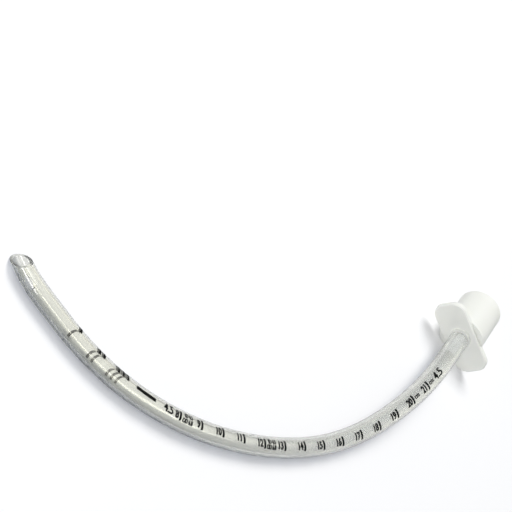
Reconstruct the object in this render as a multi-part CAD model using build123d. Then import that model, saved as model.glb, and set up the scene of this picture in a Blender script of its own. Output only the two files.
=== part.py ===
from build123d import *
from math import asin, atan, atan2, cos, degrees, hypot, radians, sin, tan
import os

# An uncuffed endotracheal tube for a child, with its 15 mm connector, lying on a table.
# Lengths are in millimetres and angles in degrees. The tube is built from its bevelled tip,
# first heading along +X, with its full-sized part on z = 0, and the finished model is turned
# so that the connector points along +X.

# The tube: one extruded length of clear PVC, drawn down to a thinner wall at its tip.
tube_bore = 4.5
tube_wall = 1.15
tip_wall = 0.85
tube_outer_radius = tube_bore / 2 + tube_wall

# The preformed curve, from the tip: arcs that all turn left on the table. The wall thickens
# from the tip to its full size along the first of them.
flat_bend_lengths = (15.4, 12, 36, 40, 40)
flat_bend_radii = (40, 400, 99, 139, 168)
# Two more arcs of the same curve lift the tube off the table, up to the connector.
lift_bend_lengths = (40, 47)
lift_bend_radii = (119, 167)

# The tip: cut at a slant that faces up and to the right of the tube, with an eye in the
# opposite side, through which air still passes if the slant lies against the windpipe.
bevel_angle = 50
bevel_turn = 21
bevel_chamfer = 0.25
eye_distance = 10.5
eye_length = 5.0
eye_width = 3.4

# The connector: one polypropylene moulding, with a 15 mm male cone that tapers 1:40.
cone_tip_diameter = 15.07
cone_length = 16.4
cone_taper = 1 / 40
cone_rim_chamfer = 0.35
rim_wall = 1.435
socket_depth = 10.5
socket_draft = 0.2
funnel_depth = 5.0
cone_base_diameter = cone_tip_diameter + cone_length * cone_taper
socket_mouth_radius = cone_tip_diameter / 2 - rim_wall

# Its plate, whose two ears take the tape, and the spigot that holds the tube.
ear_span = 26.7
ear_height = 11.9
ear_corner_radius = 4.05
ear_edge_chamfer = 0.35
plate_thickness = 2.0
ear_to_table = 0.05
hub_diameter = 7.6
hub_length = 1.0
spigot_length = 10.0
spigot_wall = 0.55
spigot_lead_in = 0.3
spigot_clearance = 0.02
seat_gap = 0.05
spigot_radius = tube_bore / 2 - spigot_clearance
spigot_bore_radius = spigot_radius - spigot_wall

# The cone lies on the table along its lowest line, so its axis leans down by its half angle.
cone_lean = atan(cone_taper / 2)
base_axis_height = cone_base_diameter / 2 * cos(cone_lean)
tube_seat = plate_thickness + hub_length + seat_gap
tube_straight_end = spigot_length + hub_length


def bend(start, heading, length, radius, climb):
    """An arc to the left: its edge, its end and the heading there. climb is the sine of its lift."""
    left = Vector(0, 0, 1).cross(heading).normalized()
    over = heading.cross(left)
    rolled = climb / over.Z
    inward = left * (1 - rolled**2) ** 0.5 + over * rolled
    turn = length / radius

    def along(share):
        angle = turn * share
        return start + heading * (radius * sin(angle)) + inward * (radius * (1 - cos(angle)))

    end_heading = heading * cos(turn) + inward * sin(turn)
    return Edge.make_three_point_arc(start, along(0.5), along(1)), along(1), end_heading


def lift_climbs():
    """The sines that lift the tube to the connector's axis and leave it leaning with it."""
    first_turn = lift_bend_lengths[0] / lift_bend_radii[0]
    second_turn = lift_bend_lengths[1] / lift_bend_radii[1]
    reach = lift_bend_radii[1] * tan(second_turn / 2)
    fall = -sin(cone_lean)
    arcs_end_height = base_axis_height - fall * (tube_seat + tube_straight_end)
    rise = arcs_end_height - tube_outer_radius
    first = (rise - reach * fall) / (
        lift_bend_radii[0] * (1 - cos(first_turn)) + reach * sin(first_turn)
    )
    second = (fall - cos(second_turn) * sin(first_turn) * first) / sin(second_turn)
    return first, second


def centreline():
    """The tube's centreline from the tip to the hub, with the end's place and heading."""
    place = Vector(0, 0, tube_outer_radius)
    heading = Vector(1, 0, 0)
    edges = []
    lengths = flat_bend_lengths + lift_bend_lengths
    radii = flat_bend_radii + lift_bend_radii
    climbs = (0,) * len(flat_bend_lengths) + lift_climbs()
    for length, radius, climb in zip(lengths, radii, climbs):
        edge, place, heading = bend(place, heading, length, radius, climb)
        edges.append(edge)
    end = place + heading * tube_straight_end
    edges.append(Edge.make_line(place, end))
    return Wire(edges), end, heading


def outward(heading, turn):
    """The direction out of the side of the flat tube, turned from the top towards its right."""
    right = heading.cross(Vector(0, 0, 1)).normalized()
    return Vector(0, 0, 1) * cos(radians(turn)) + right * sin(radians(turn))


def make_tube(route):
    """The hollow tube, with its slanted tip and its eye."""
    tip_bend = route.edges()[0]
    after_tip = Wire(route.edges()[1:])
    tip_end = Plane(origin=route @ 0, z_dir=route % 0)
    full_end = Plane(origin=tip_bend @ 1, z_dir=tip_bend % 1)
    tip_disc = tip_end * Circle(tube_bore / 2 + tip_wall)
    full_disc = full_end * Circle(tube_outer_radius)
    outside = sweep([tip_disc, full_disc], path=tip_bend, multisection=True)
    outside += sweep(full_disc, path=after_tip)
    tube = outside - sweep(tip_end * Circle(tube_bore / 2), path=route)

    # The slant meets the outside of the tube in its foremost point, and its lip is eased.
    faces = outward(route % 0, bevel_turn)
    foremost = route @ 0 - faces * tube_outer_radius
    slant = radians(bevel_angle)
    out_of_slant = faces * cos(slant) - (route % 0) * sin(slant)
    tube = split(tube, bisect_by=Plane(origin=foremost, z_dir=out_of_slant), keep=Keep.BOTTOM)
    slant_face = tube.faces().filter_by(GeomType.PLANE).sort_by(Axis.X)[0]
    tube = chamfer(slant_face.outer_wire().edges(), bevel_chamfer)

    eye_centre = route.position_at(eye_distance, position_mode=PositionMode.LENGTH)
    along = route.tangent_at(eye_distance, position_mode=PositionMode.LENGTH)
    eye_plane = Plane(origin=eye_centre, x_dir=along, z_dir=outward(along, bevel_turn) * -1)
    eye = extrude(eye_plane * Ellipse(eye_length / 2, eye_width / 2), 2 * tube_outer_radius)
    return tube - eye


def make_connector():
    """The connector about the Z axis, with the cone's base at z = 0 and its mouth upwards."""
    base_radius = cone_base_diameter / 2
    tip_radius = cone_tip_diameter / 2
    funnel_end = cone_length - socket_depth - funnel_depth
    spigot_end = -plate_thickness - hub_length - spigot_length

    # Half the turned section, from the bore's lower end round the outside to the mouth.
    section = Polyline(
        (spigot_bore_radius, spigot_end),
        (spigot_radius - spigot_lead_in, spigot_end),
        (spigot_radius, spigot_end + 2 * spigot_lead_in),
        (spigot_radius, -plate_thickness - hub_length),
        (hub_diameter / 2, -plate_thickness - hub_length),
        (hub_diameter / 2, -plate_thickness / 2),
        (base_radius, -plate_thickness / 2),
        (base_radius, 0),
        (tip_radius, cone_length),
        (socket_mouth_radius, cone_length),
        (socket_mouth_radius - socket_draft, cone_length - socket_depth),
        (spigot_bore_radius, funnel_end),
        close=True,
    )
    body = revolve(Plane.XZ * make_face(section), Axis.Z)
    rim = body.edges().filter_by(GeomType.CIRCLE).group_by(Axis.Z)[-1]
    body = chamfer(rim, cone_rim_chamfer)

    plate_outline = RectangleRounded(ear_span, ear_height, ear_corner_radius)
    plate = extrude(plate_outline, -plate_thickness)
    plate = chamfer(plate.faces().filter_by(Axis.Z).edges(), ear_edge_chamfer)
    passage = Cylinder(spigot_bore_radius, 4 * plate_thickness)
    return body + (plate - passage)


def ear_roll():
    """How far the plate rolls until the lower ear comes down to the table."""
    reach = ear_span / 2 - ear_corner_radius
    drop = ear_height / 2 - ear_corner_radius
    free_height = base_axis_height - ear_corner_radius - ear_to_table
    return degrees(asin(free_height / hypot(reach, drop)) - atan2(drop, reach))


route, tube_end, tube_end_heading = centreline()
cone_base = tube_end + tube_end_heading * tube_seat
to_the_left = Vector(0, 0, 1).cross(tube_end_heading).normalized()
connector_seat = Location(Plane(origin=cone_base, x_dir=to_the_left, z_dir=tube_end_heading))

tube = make_tube(route)
connector = connector_seat * Rotation(0, 0, ear_roll()) * make_connector()

# Turned to bring the connector along +X, and set with the middle of its box at the origin.
end_turn = degrees(atan2(tube_end_heading.Y, tube_end_heading.X))
along_x = Rotation(0, 0, -end_turn)
pieces = {"tube": (along_x * tube).solid(), "connector": (along_x * connector).solid()}
box = Compound(list(pieces.values())).bounding_box()
middle = Pos(-box.center().X, -box.center().Y, 0)

os.makedirs("parts", exist_ok=True)
for name, piece in pieces.items():
    export_step(middle * piece, f"parts/{name}.step")
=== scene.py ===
# An uncuffed endotracheal tube for a child: a curved clear PVC tube with a slanted tip, printed
# with its depth marks, and an off-white 15 mm connector. It lies on a white table.
from math import cos, radians, sin

import bmesh
import bpy
import numpy as np
from mathutils import Matrix, Vector


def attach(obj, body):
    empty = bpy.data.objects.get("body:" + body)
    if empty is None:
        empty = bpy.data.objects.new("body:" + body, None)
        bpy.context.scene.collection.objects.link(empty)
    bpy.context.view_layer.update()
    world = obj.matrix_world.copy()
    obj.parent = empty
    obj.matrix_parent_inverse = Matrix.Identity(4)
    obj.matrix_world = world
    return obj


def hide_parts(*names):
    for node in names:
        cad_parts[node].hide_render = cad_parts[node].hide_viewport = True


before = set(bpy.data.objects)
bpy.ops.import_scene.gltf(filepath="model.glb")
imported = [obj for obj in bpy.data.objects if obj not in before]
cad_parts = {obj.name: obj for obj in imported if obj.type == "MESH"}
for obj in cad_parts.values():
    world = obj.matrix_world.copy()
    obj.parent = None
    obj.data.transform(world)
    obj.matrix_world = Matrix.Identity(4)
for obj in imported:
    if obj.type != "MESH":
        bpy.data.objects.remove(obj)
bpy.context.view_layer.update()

# The tube is one length of soft clear PVC, extruded and then set in its curve by heat. Its tip
# is drawn down to a thinner wall and cut at a slant, and an eye is punched in the side opposite
# the cut. One tree of geometry nodes sweeps it along its centreline, bores it and cuts it.
mm = 0.001
tube_radius = 3.4 * mm
tip_radius = 3.1 * mm
bore_radius = 2.25 * mm
tip_end = Vector((-85.8076, 77.6887, 3.4)) * mm
tip_heading = Vector((-0.301124, -0.953585, 0))
# Each arc's length and radius in millimetres, and the sine of its climb, from the tip.
arcs = (
    (15.4, 40, 0),
    (12, 400, 0),
    (36, 99, 0),
    (40, 139, 0),
    (40, 168, 0),
    (40, 119, 0.332633),
    (47, 167, -0.424497),
)
straight_end = 11
line_step = 0.5


def follow_arcs():
    """The centreline's points and headings, a line_step apart, and each one's distance in mm."""
    place = tip_end
    heading = tip_heading.normalized()
    points = [place]
    headings = [heading]
    distances = [0.0]
    for length, radius, climb in arcs:
        left = Vector((0, 0, 1)).cross(heading).normalized()
        over = heading.cross(left)
        rolled = climb / over.z
        inward = left * (1 - rolled**2) ** 0.5 + over * rolled
        begun = distances[-1]
        steps = round(length / line_step)
        for step in range(1, steps + 1):
            angle = length / radius * step / steps
            points.append(
                place + (heading * sin(angle) + inward * (1 - cos(angle))) * radius * mm
            )
            headings.append(heading * cos(angle) + inward * sin(angle))
            distances.append(begun + length * step / steps)
        place = points[-1]
        heading = headings[-1]
    begun = distances[-1]
    steps = round(straight_end / line_step)
    for step in range(1, steps + 1):
        points.append(place + heading * straight_end * mm * step / steps)
        headings.append(heading)
        distances.append(begun + straight_end * step / steps)
    return np.array(points), np.array(headings), np.array(distances)


line_points, line_headings, line_distances = follow_arcs()


def on_line(distance):
    """The centreline's place at a distance in mm, its heading, and its right and upper sides."""
    place = Vector([np.interp(distance, line_distances, line_points[:, k]) for k in range(3)])
    heading = Vector([np.interp(distance, line_distances, line_headings[:, k]) for k in range(3)])
    heading.normalize()
    right = heading.cross(Vector((0, 0, 1))).normalized()
    return place, heading, right, right.cross(heading)


def linear(colour):
    """A linear colour from its sRGB hex value."""
    parts = [int(colour[k : k + 2], 16) / 255 for k in (1, 3, 5)]
    return [p / 12.92 if p <= 0.04045 else ((p + 0.055) / 1.055) ** 2.4 for p in parts] + [1]


def add_node(tree, kind, inputs=None, **settings):
    """A node with its settings; an input is a value, or another node's output to link."""
    made = tree.nodes.new(kind)
    for name, value in settings.items():
        setattr(made, name, value)
    for socket, value in (inputs or {}).items():
        if isinstance(value, bpy.types.NodeSocket):
            tree.links.new(value, made.inputs[socket])
        else:
            made.inputs[socket].default_value = value
    return made


def start_material(name):
    """An empty material's tree, to build in."""
    material = bpy.data.materials.new(name)
    material.use_nodes = True
    material.node_tree.nodes.clear()
    return material, material.node_tree


# The slant faces up and to the right of the tube, and the eye is in the opposite side.
slant_turn = radians(21)
slant_angle = radians(50)
start, heading_there, right_there, up_there = on_line(0)
slant_side = up_there * cos(slant_turn) + right_there * sin(slant_turn)
slant_facing = slant_side * cos(slant_angle) - heading_there * sin(slant_angle)
slant_place = start - slant_side * tube_radius

# Clear plasticised PVC, extruded: glossy and faintly yellow-green, with a little milkiness that
# deepens towards the connector, and a slow waviness left by the die, about 14 mm from crest to
# crest. The cut face is frosted.
clear_pvc, tree = start_material("clear_plasticised_pvc")
place = add_node(tree, "ShaderNodeTexCoord")
towards_connector = (0.62, -0.78, 0)
along = add_node(
    tree,
    "ShaderNodeVectorMath",
    {0: place.outputs["Object"], 1: towards_connector},
    operation="DOT_PRODUCT",
)
clarity = add_node(
    tree,
    "ShaderNodeMapRange",
    {
        "Value": along.outputs["Value"],
        "From Min": -0.09,
        "From Max": 0.05,
        "To Min": 0.97,
        "To Max": 0.74,
    },
    interpolation_type="SMOOTHSTEP",
)
slant_level = slant_place.dot(slant_facing)
height_in_slant = add_node(
    tree,
    "ShaderNodeVectorMath",
    {0: place.outputs["Object"], 1: slant_facing},
    operation="DOT_PRODUCT",
)
frost = add_node(
    tree,
    "ShaderNodeMapRange",
    {
        "Value": height_in_slant.outputs["Value"],
        "From Min": slant_level - 0.06 * mm,
        "From Max": slant_level - 0.02 * mm,
        "To Min": 0.06,
        "To Max": 0.6,
    },
)
die_lines = add_node(
    tree, "ShaderNodeTexNoise", {"Vector": place.outputs["Object"], "Scale": 70.0, "Detail": 1.0}
)
waviness = add_node(
    tree,
    "ShaderNodeBump",
    {"Strength": 0.1, "Distance": 0.0002, "Height": die_lines.outputs["Fac"]},
)
pvc = add_node(
    tree,
    "ShaderNodeBsdfPrincipled",
    {
        "Base Color": linear("#FBFBF4"),
        "Roughness": frost.outputs["Result"],
        "IOR": 1.53,
        "Transmission Weight": clarity.outputs["Result"],
        "Normal": waviness.outputs["Normal"],
    },
)
# Light for the table passes straight through, weakened by each wall, so the shadow stays soft.
lamp_light = add_node(tree, "ShaderNodeBsdfTransparent", {"Color": linear("#C4C8CE")})
ray = add_node(tree, "ShaderNodeLightPath")
finish = pvc.outputs[0]
for kind_of_ray in ("Is Shadow Ray", "Is Diffuse Ray"):
    passing = add_node(
        tree,
        "ShaderNodeMixShader",
        {0: ray.outputs[kind_of_ray], 1: finish, 2: lamp_light.outputs[0]},
    )
    finish = passing.outputs[0]
add_node(tree, "ShaderNodeOutputMaterial", {"Surface": finish})

tube_tree = bpy.data.node_groups.new("tube_by_its_centreline", "GeometryNodeTree")
tube_inputs = {}
for name, kind in (
    ("Centreline", "NodeSocketGeometry"),
    ("Outer Radius", "NodeSocketFloat"),
    ("Tip Radius", "NodeSocketFloat"),
    ("Tip Length", "NodeSocketFloat"),
    ("Bore Radius", "NodeSocketFloat"),
    ("Sides", "NodeSocketInt"),
    ("Slant Place", "NodeSocketVector"),
    ("Slant Facing", "NodeSocketVector"),
    ("Eye Place", "NodeSocketVector"),
    ("Eye Facing", "NodeSocketVector"),
    ("Eye Along", "NodeSocketVector"),
    ("Eye Size", "NodeSocketVector"),
    ("Finish", "NodeSocketMaterial"),
):
    tube_inputs[name] = tube_tree.interface.new_socket(name, in_out="INPUT", socket_type=kind)
tube_tree.interface.new_socket("Tube", in_out="OUTPUT", socket_type="NodeSocketGeometry")
given = add_node(tube_tree, "NodeGroupInput").outputs
line = add_node(tube_tree, "GeometryNodeMeshToCurve", {"Mesh": given["Centreline"]})
length_so_far = add_node(tube_tree, "GeometryNodeSplineParameter")
drawn_down = add_node(
    tube_tree,
    "ShaderNodeMapRange",
    {
        "Value": length_so_far.outputs["Length"],
        "From Min": 0.0,
        "From Max": given["Tip Length"],
        "To Min": given["Tip Radius"],
        "To Max": given["Outer Radius"],
    },
)
ring = add_node(
    tube_tree, "GeometryNodeCurvePrimitiveCircle", {"Resolution": given["Sides"], "Radius": 1.0}
)
outside = add_node(
    tube_tree,
    "GeometryNodeCurveToMesh",
    {
        "Curve": line.outputs["Curve"],
        "Profile Curve": ring.outputs["Curve"],
        "Scale": drawn_down.outputs["Result"],
        "Fill Caps": True,
    },
)
# The bore's drill runs a millimetre past both ends.
heading = add_node(tube_tree, "GeometryNodeInputTangent")
long_line = line.outputs["Curve"]
for first, last, stretch in ((1, 0, -mm), (0, 1, mm)):
    end = add_node(
        tube_tree, "GeometryNodeCurveEndpointSelection", {"Start Size": first, "End Size": last}
    )
    past = add_node(
        tube_tree,
        "ShaderNodeVectorMath",
        {0: heading.outputs["Tangent"], "Scale": stretch},
        operation="SCALE",
    )
    moved = add_node(
        tube_tree,
        "GeometryNodeSetPosition",
        {
            "Geometry": long_line,
            "Selection": end.outputs["Selection"],
            "Offset": past.outputs["Vector"],
        },
    )
    long_line = moved.outputs["Geometry"]
drill = add_node(
    tube_tree,
    "GeometryNodeCurveToMesh",
    {
        "Curve": long_line,
        "Profile Curve": ring.outputs["Curve"],
        "Scale": given["Bore Radius"],
        "Fill Caps": True,
    },
)
# The knife is a block with one face in the slant, and the punch an elliptical bar.
block_side = 0.03
block = add_node(tube_tree, "GeometryNodeMeshCube", {"Size": (block_side,) * 3})
raised = add_node(
    tube_tree,
    "GeometryNodeTransform",
    {"Geometry": block.outputs["Mesh"], "Translation": (0, 0, block_side / 2)},
)
knife_turn = add_node(
    tube_tree, "FunctionNodeAlignRotationToVector", {"Vector": given["Slant Facing"]}, axis="Z"
)
knife = add_node(
    tube_tree,
    "GeometryNodeTransform",
    {
        "Geometry": raised.outputs["Geometry"],
        "Translation": given["Slant Place"],
        "Rotation": knife_turn.outputs["Rotation"],
    },
)
bar = add_node(
    tube_tree, "GeometryNodeMeshCylinder", {"Vertices": 64, "Radius": 1.0, "Depth": 1.0}
)
raised_bar = add_node(
    tube_tree,
    "GeometryNodeTransform",
    {"Geometry": bar.outputs["Mesh"], "Translation": (0, 0, 0.5)},
)
facing = add_node(
    tube_tree, "FunctionNodeAlignRotationToVector", {"Vector": given["Eye Facing"]}, axis="Z"
)
punch_turn = add_node(
    tube_tree,
    "FunctionNodeAlignRotationToVector",
    {"Rotation": facing.outputs["Rotation"], "Vector": given["Eye Along"]},
    axis="X",
    pivot_axis="Z",
)
punch = add_node(
    tube_tree,
    "GeometryNodeTransform",
    {
        "Geometry": raised_bar.outputs["Geometry"],
        "Translation": given["Eye Place"],
        "Rotation": punch_turn.outputs["Rotation"],
        "Scale": given["Eye Size"],
    },
)
cut = outside.outputs["Mesh"]
for tool in (drill.outputs["Mesh"], knife.outputs["Geometry"], punch.outputs["Geometry"]):
    one_cut = add_node(
        tube_tree,
        "GeometryNodeMeshBoolean",
        {"Mesh 1": cut, "Mesh 2": tool},
        operation="DIFFERENCE",
        solver="MANIFOLD",
    )
    cut = one_cut.outputs["Mesh"]
whole = add_node(tube_tree, "GeometryNodeRealizeInstances", {"Geometry": cut})
finished = add_node(
    tube_tree,
    "GeometryNodeSetMaterial",
    {"Geometry": whole.outputs["Geometry"], "Material": given["Finish"]},
)
add_node(tube_tree, "NodeGroupOutput", {"Tube": finished.outputs["Geometry"]})


def grow(host, tree, sockets, values, name):
    """The plain mesh that a tree of geometry nodes makes from a host object, which then goes."""
    modifier = host.modifiers.new(name, "NODES")
    modifier.node_group = tree
    for key, value in values.items():
        modifier[sockets[key].identifier] = value
    depsgraph = bpy.context.evaluated_depsgraph_get()
    mesh = bpy.data.meshes.new_from_object(host.evaluated_get(depsgraph), depsgraph=depsgraph)
    mesh.name = name
    bpy.data.objects.remove(host)
    return mesh


# The eye's middle is 10.5 mm from the tip. It is 5 mm long and 3.4 mm wide.
eye_centre, eye_along, eye_right, eye_up = on_line(10.5)
eye_facing = -(eye_up * cos(slant_turn) + eye_right * sin(slant_turn))

centreline = bpy.data.meshes.new("tube_centreline")
centreline.from_pydata(line_points.tolist(), [(k, k + 1) for k in range(len(line_points) - 1)], [])
host = bpy.data.objects.new("tube_centreline", centreline)
bpy.context.scene.collection.objects.link(host)
tube_mesh = grow(
    host,
    tube_tree,
    tube_inputs,
    {
        "Outer Radius": tube_radius,
        "Tip Radius": tip_radius,
        "Tip Length": 15.4 * mm,
        "Bore Radius": bore_radius,
        "Sides": 72,
        "Slant Place": slant_place,
        "Slant Facing": slant_facing,
        "Eye Place": eye_centre,
        "Eye Facing": eye_facing,
        "Eye Along": eye_along,
        "Eye Size": (2.5 * mm, 1.7 * mm, 2 * tube_radius),
        "Finish": clear_pvc,
    },
    "tube_body",
)
tube_mesh.polygons.foreach_set("use_smooth", [True] * len(tube_mesh.polygons))
tube_mesh.set_sharp_from_angle(angle=radians(32))
tube_body = bpy.data.objects.new("tube_body", tube_mesh)
bpy.context.scene.collection.objects.link(tube_body)
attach(tube_body, "root")
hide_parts("tube")

# The marks are black ink, printed on the tube after it is extruded: rings near the tip that show
# how deep it may go, centimetres from the tip with a bar each, and the bore's size. They are
# drawn flat, cut into narrow strips and laid around the tube, a hair above its wall.
ink_film = 0.012 * mm
# The print wanders around the tube: its turn to the right from the top, in degrees, at mm.
print_places = (0, 60, 80, 90, 100, 110, 120, 130, 140, 160, 180, 190, 200, 210, 241)
print_turns = (-8, 0, 6, 1, -4, -3, 4, 5, 4, 10, 9, 4, -6, -9, -20)

# Printing ink, rubbed on by a wheel: matt black that thins out in spots and at its edges.
black_ink, tree = start_material("black_printing_ink")
place = add_node(tree, "ShaderNodeTexCoord")
spots = add_node(
    tree, "ShaderNodeTexNoise", {"Vector": place.outputs["Object"], "Scale": 2200.0, "Detail": 3.0}
)
thin_or_thick = add_node(
    tree,
    "ShaderNodeMapRange",
    {"Value": spots.outputs["Fac"], "From Min": 0.35, "From Max": 0.7},
)
ink_colour = add_node(
    tree,
    "ShaderNodeMix",
    {
        "Factor": thin_or_thick.outputs["Result"],
        "A": linear("#060606"),
        "B": linear("#171818"),
    },
    data_type="RGBA",
)
ink = add_node(
    tree,
    "ShaderNodeBsdfPrincipled",
    {"Base Color": ink_colour.outputs["Result"], "Roughness": 0.8, "IOR": 1.15},
)
add_node(tree, "ShaderNodeOutputMaterial", {"Surface": ink.outputs[0]})

flat_ink = bmesh.new()


def lay_flat(mesh, from_left, from_middle, stretch=(1, 1)):
    """Adds a flat mesh to the print, at a distance in mm along the tube and up from its line."""
    mesh.transform(
        Matrix.Translation((from_left * mm, from_middle * mm, 0))
        @ Matrix.Diagonal((stretch[0], stretch[1], 1, 1))
    )
    flat_ink.from_mesh(mesh)
    bpy.data.meshes.remove(mesh)


# The wheel strikes each figure twice, this far to each side in mm, so its strokes are bold.
strike_shift = 0.1


def print_words(words, right_end, middle, height, width_share, boldness):
    """Sets a few figures so that they end at a distance along the tube, in mm."""
    letters = bpy.data.curves.new("figures", "FONT")
    letters.body = words
    letters.size = height * mm / 0.73
    letters.offset = boldness * mm
    letters.align_x = "RIGHT"
    letters.align_y = "CENTER"
    letters.resolution_u = 6
    holder = bpy.data.objects.new("figures", letters)
    bpy.context.scene.collection.objects.link(holder)
    depsgraph = bpy.context.evaluated_depsgraph_get()
    mesh = bpy.data.meshes.new_from_object(holder.evaluated_get(depsgraph), depsgraph=depsgraph)
    bpy.data.objects.remove(holder)
    second_strike = mesh.copy()
    lay_flat(mesh, right_end - strike_shift, middle, (width_share, 1))
    lay_flat(second_strike, right_end + strike_shift, middle, (width_share, 1))


def print_bar(left, low, right, high, rise=0.0):
    """A plain bar between two corners, in mm, and how far it stands off the film."""
    bar = bpy.data.meshes.new("bar")
    corners = [(left, low, rise), (right, low, rise), (right, high, rise), (left, high, rise)]
    bar.from_pydata([Vector(c) * mm for c in corners], [], [(0, 1, 2, 3)])
    lay_flat(bar, 0, 0)


# The centimetre bars repeat every 10 mm, so they are a row of copies.
bar_tree = bpy.data.node_groups.new("centimetre_bars", "GeometryNodeTree")
bar_inputs = {}
for name, kind in (
    ("Host", "NodeSocketGeometry"),
    ("Count", "NodeSocketInt"),
    ("Pitch", "NodeSocketFloat"),
    ("First", "NodeSocketFloat"),
    ("Bar Width", "NodeSocketFloat"),
    ("Bar Height", "NodeSocketFloat"),
    ("Ink", "NodeSocketMaterial"),
):
    bar_inputs[name] = bar_tree.interface.new_socket(name, in_out="INPUT", socket_type=kind)
bar_tree.interface.new_socket("Bars", in_out="OUTPUT", socket_type="NodeSocketGeometry")
given = add_node(bar_tree, "NodeGroupInput").outputs
first_place = add_node(bar_tree, "ShaderNodeCombineXYZ", {"X": given["First"]})
pitch = add_node(bar_tree, "ShaderNodeCombineXYZ", {"X": given["Pitch"]})
row = add_node(
    bar_tree,
    "GeometryNodeMeshLine",
    {
        "Count": given["Count"],
        "Start Location": first_place.outputs[0],
        "Offset": pitch.outputs[0],
    },
    mode="OFFSET",
)
one_bar = add_node(
    bar_tree,
    "GeometryNodeMeshGrid",
    {
        "Size X": given["Bar Width"],
        "Size Y": given["Bar Height"],
        "Vertices X": 2,
        "Vertices Y": 2,
    },
)
copies = add_node(
    bar_tree,
    "GeometryNodeInstanceOnPoints",
    {"Points": row.outputs["Mesh"], "Instance": one_bar.outputs["Mesh"]},
)
loose = add_node(
    bar_tree, "GeometryNodeRealizeInstances", {"Geometry": copies.outputs["Instances"]}
)
inked = add_node(
    bar_tree,
    "GeometryNodeSetMaterial",
    {"Geometry": loose.outputs["Geometry"], "Material": given["Ink"]},
)
add_node(bar_tree, "NodeGroupOutput", {"Bars": inked.outputs["Geometry"]})
host = bpy.data.objects.new("centimetre_bars", bpy.data.meshes.new("bar_host"))
bpy.context.scene.collection.objects.link(host)
bars = grow(
    host,
    bar_tree,
    bar_inputs,
    {
        "Count": 14,
        "Pitch": 10 * mm,
        "First": 80 * mm,
        "Bar Width": 0.95 * mm,
        "Bar Height": 3.3 * mm,
        "Ink": black_ink,
    },
    "centimetre_bars",
)
lay_flat(bars, 0, 0)

for centimetre in range(8, 22):
    print_words(str(centimetre), centimetre * 10 - 0.95, -0.1, 2.55, 0.8, 0.12)
for centimetre in (20, 21):
    print_words("cm", centimetre * 10 + 3.9, 0.1, 1.7, 1.0, 0.03)
print_words("4.5", 220.2, 0, 2.7, 1.15, 0.07)
print_words("4.5", 76.6, 0, 2.7, 0.95, 0.08)
for upper, lower, right_end in (("ID 4.5", "OD 6.8", 125.4), ("ID 4.5", "OD 6.8", 85.6)):
    print_words(upper, right_end, 0.85, 1.5, 0.72, 0.075)
    print_words(lower, right_end, -0.95, 1.5, 0.72, 0.075)
# Where a name is usually printed there is a plain bar.
print_bar(59.4, -0.6, 68.4, 0.6)
# One ring, two and three, each from the top round the left side to the underside. They show
# through the tube there, so the ink that has soaked into the wall is drawn as well.
half_ring = 0.48
for distance in (32.0, 41.6, 43.8, 50.9, 53.1, 55.3):
    for rise in (0.0, -0.03):
        print_bar(distance - half_ring, -0.3, distance + half_ring, 9.9, rise)

for edges, across in (
    (np.arange(-2.6, 10, 0.2), Vector((0, 1, 0))),
    (np.arange(58, 220, 0.8), Vector((1, 0, 0))),
):
    for edge in edges:
        everything = flat_ink.verts[:] + flat_ink.edges[:] + flat_ink.faces[:]
        bmesh.ops.bisect_plane(
            flat_ink, geom=everything, plane_co=across * (edge * mm), plane_no=across, dist=1e-9
        )
for vertex in flat_ink.verts:
    distance = vertex.co.x / mm
    centre, _, right_here, up_here = on_line(distance)
    turn = radians(np.interp(distance, print_places, print_turns)) - vertex.co.y / tube_radius
    around = up_here * cos(turn) + right_here * sin(turn)
    vertex.co = centre + around * (tube_radius + ink_film + vertex.co.z)
ink_mesh = bpy.data.meshes.new("printed_marks")
flat_ink.to_mesh(ink_mesh)
flat_ink.free()
ink_mesh.materials.clear()
ink_mesh.materials.append(black_ink)
ink_mesh.polygons.foreach_set("material_index", [0] * len(ink_mesh.polygons))
printed_marks = bpy.data.objects.new("printed_marks", ink_mesh)
bpy.context.scene.collection.objects.link(printed_marks)
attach(printed_marks, "root")

# The connector is one injection moulding, with a tapered male cone that a breathing circuit is
# pushed onto and two ears for the tape. Its shape is the CAD node's, and it gets its finish here.
# Polypropylene: waxy off-white, lets a little light in, and has the faint grain of its mould.
polypropylene, tree = start_material("moulded_polypropylene")
place = add_node(tree, "ShaderNodeTexCoord")
clouds = add_node(
    tree, "ShaderNodeTexNoise", {"Vector": place.outputs["Object"], "Scale": 90.0, "Detail": 2.0}
)
flow_colour = add_node(
    tree,
    "ShaderNodeMix",
    {"Factor": clouds.outputs["Fac"], "A": linear("#F1F1EB"), "B": linear("#ECEDE6")},
    data_type="RGBA",
)
grain = add_node(
    tree, "ShaderNodeTexNoise", {"Vector": place.outputs["Object"], "Scale": 2500.0, "Detail": 1.0}
)
grain_bump = add_node(
    tree, "ShaderNodeBump", {"Strength": 0.08, "Distance": 0.00005, "Height": grain.outputs["Fac"]}
)
moulded = add_node(
    tree,
    "ShaderNodeBsdfPrincipled",
    {
        "Base Color": flow_colour.outputs["Result"],
        "Roughness": 0.38,
        "IOR": 1.49,
        "Subsurface Weight": 0.35,
        "Subsurface Radius": (1.0, 1.0, 0.9),
        "Subsurface Scale": 0.0012,
        "Normal": grain_bump.outputs["Normal"],
    },
)
add_node(tree, "ShaderNodeOutputMaterial", {"Surface": moulded.outputs[0]})
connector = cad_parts["connector"]
connector.data.materials.clear()
connector.data.materials.append(polypropylene)

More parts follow.
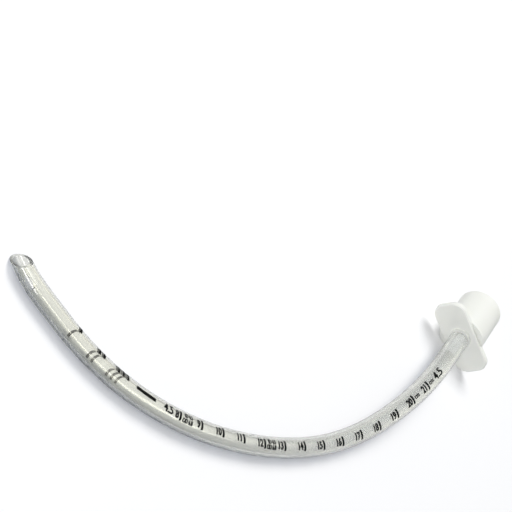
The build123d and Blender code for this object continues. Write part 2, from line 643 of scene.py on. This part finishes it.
# The table is a plain white sheet, 6 m square. A little glow for the camera alone makes it as
# white as the page, and it keeps the tube's shadow.
table_mesh = bpy.data.meshes.new("table_top")
reach = 3.0
table_mesh.from_pydata(
    [(-reach, -reach, 0), (reach, -reach, 0), (reach, reach, 0), (-reach, reach, 0)],
    [],
    [(0, 1, 2, 3)],
)
white_table, tree = start_material("white_card_table")
card = add_node(tree, "ShaderNodeBsdfDiffuse", {"Color": linear("#E6E6E6")})
card_glow = add_node(tree, "ShaderNodeEmission", {"Color": (1, 1, 1, 1), "Strength": 0.21})
ray = add_node(tree, "ShaderNodeLightPath")
both = add_node(tree, "ShaderNodeAddShader", {0: card.outputs[0], 1: card_glow.outputs[0]})
shown = add_node(
    tree,
    "ShaderNodeMixShader",
    {0: ray.outputs["Is Camera Ray"], 1: card.outputs[0], 2: both.outputs[0]},
)
add_node(tree, "ShaderNodeOutputMaterial", {"Surface": shown.outputs[0]})
table_mesh.materials.append(white_table)
table_top = bpy.data.objects.new("table_top", table_mesh)
bpy.context.scene.collection.objects.link(table_top)

# The room is dim and a little blue. A bright wall beyond the curve, and a band at half height
# round its near side, are painted reflections: they light nothing and show only in the tube.
# The camera sees it white.
room = bpy.data.worlds.new("pale_room")
bpy.context.scene.world = room
room.use_nodes = True
tree = room.node_tree
tree.nodes.clear()
place = add_node(tree, "ShaderNodeTexCoord")
towards_wall = add_node(
    tree,
    "ShaderNodeVectorMath",
    {0: place.outputs["Generated"], 1: (0.25, -0.85, 0.45)},
    operation="DOT_PRODUCT",
)
# Painted reflection: the wall's brightness lights nothing and is seen only in and through the
# tube.
painted_wall_reflection = add_node(
    tree,
    "ShaderNodeMapRange",
    {
        "Value": towards_wall.outputs["Value"],
        "From Min": 0.2,
        "From Max": 0.95,
        "To Min": 0.15,
        "To Max": 1.5,
    },
    interpolation_type="SMOOTHSTEP",
)
direction = add_node(tree, "ShaderNodeSeparateXYZ", {0: place.outputs["Generated"]})
off_band = add_node(
    tree, "ShaderNodeMath", {0: direction.outputs["Z"], 1: 0.68}, operation="SUBTRACT"
)
off_band = add_node(tree, "ShaderNodeMath", {0: off_band.outputs[0]}, operation="ABSOLUTE")
# Painted highlight: the band lights nothing and shows only in the tube's reflections.
painted_highlight_band = add_node(
    tree,
    "ShaderNodeMapRange",
    {
        "Value": off_band.outputs[0],
        "From Min": 0.03,
        "From Max": 0.1,
        "To Min": 3.6,
        "To Max": 0.0,
    },
    interpolation_type="SMOOTHSTEP",
)
band_end = add_node(
    tree,
    "ShaderNodeMapRange",
    {
        "Value": direction.outputs["X"],
        "From Min": 0.1,
        "From Max": 0.42,
        "To Min": 1.0,
        "To Max": 0.0,
    },
    interpolation_type="SMOOTHSTEP",
)
fill = add_node(tree, "ShaderNodeBackground", {"Color": linear("#DDE5F5"), "Strength": 0.15})
page = add_node(tree, "ShaderNodeBackground", {"Color": (1, 1, 1, 1), "Strength": 1.0})
ray = add_node(tree, "ShaderNodeLightPath")
in_gloss = add_node(
    tree,
    "ShaderNodeMath",
    {0: band_end.outputs[0], 1: ray.outputs["Is Glossy Ray"]},
    operation="MULTIPLY",
)
# The painted wall and band brighten only the rays reflected from or passing through the tube.
painted_reflection_strength = add_node(
    tree,
    "ShaderNodeMath",
    {0: painted_highlight_band.outputs[0], 1: in_gloss.outputs[0], 2: painted_wall_reflection.outputs["Result"]},
    operation="MULTIPLY_ADD",
)
wall = add_node(
    tree, "ShaderNodeBackground", {"Color": linear("#FDFCF2"), "Strength": painted_reflection_strength.outputs[0]}
)
mirrored_or_through = add_node(
    tree,
    "ShaderNodeMath",
    {0: ray.outputs["Is Glossy Ray"], 1: ray.outputs["Is Transmission Ray"]},
    operation="MAXIMUM",
)
around = add_node(
    tree,
    "ShaderNodeMixShader",
    {0: mirrored_or_through.outputs[0], 1: fill.outputs[0], 2: wall.outputs[0]},
)
world_mix = add_node(
    tree,
    "ShaderNodeMixShader",
    {0: ray.outputs["Is Camera Ray"], 1: around.outputs[0], 2: page.outputs[0]},
)
add_node(tree, "ShaderNodeOutputWorld", {"Surface": world_mix.outputs[0]})

# The key lamp stands behind the curve and throws the shadow towards the camera. A wide lamp above
# and a low strip in front of the tip give the two bright lines along the tube, and the strip
# throws no shadow. The sizes are in metres.
for name, stand, width, height, watts, throws_shadow in (
    ("key_softbox", (0.49, 0.24, 1.0), 0.62, 0.62, 10.0, True),
    ("upper_softbox", (-0.35, 0.13, 0.93), 0.6, 0.4, 2.0, True),
    ("front_strip", (-0.84, 0.27, 0.21), 1.0, 0.2, 4.6, False),
):
    lamp = bpy.data.lights.new(name, "AREA")
    lamp.shape = "RECTANGLE"
    lamp.size = width
    lamp.size_y = height
    lamp.energy = watts
    lamp.use_shadow = throws_shadow
    light = bpy.data.objects.new(name, lamp)
    bpy.context.scene.collection.objects.link(light)
    light.location = stand
    light.rotation_euler = Vector(stand).to_track_quat("Z", "Y").to_euler()

# The camera looks down from beyond the tip, turned on its side as in the photograph, from about
# 1.6 m away through a long lens.
camera = bpy.data.cameras.new("camera")
camera.sensor_width = 36
camera.lens = 347.72
camera.clip_end = 20
viewer = bpy.data.objects.new("camera", camera)
bpy.context.scene.collection.objects.link(viewer)
viewer.matrix_world = Matrix(
    (
        (0.406543, 0.528702, -0.745115, -1.17719),
        (-0.518846, 0.804885, 0.288024, 0.47219),
        (0.752011, 0.269506, 0.601536, 0.962),
        (0, 0, 0, 1),
    )
)
bpy.context.scene.camera = viewer
bpy.context.scene.view_settings.view_transform = "Standard"
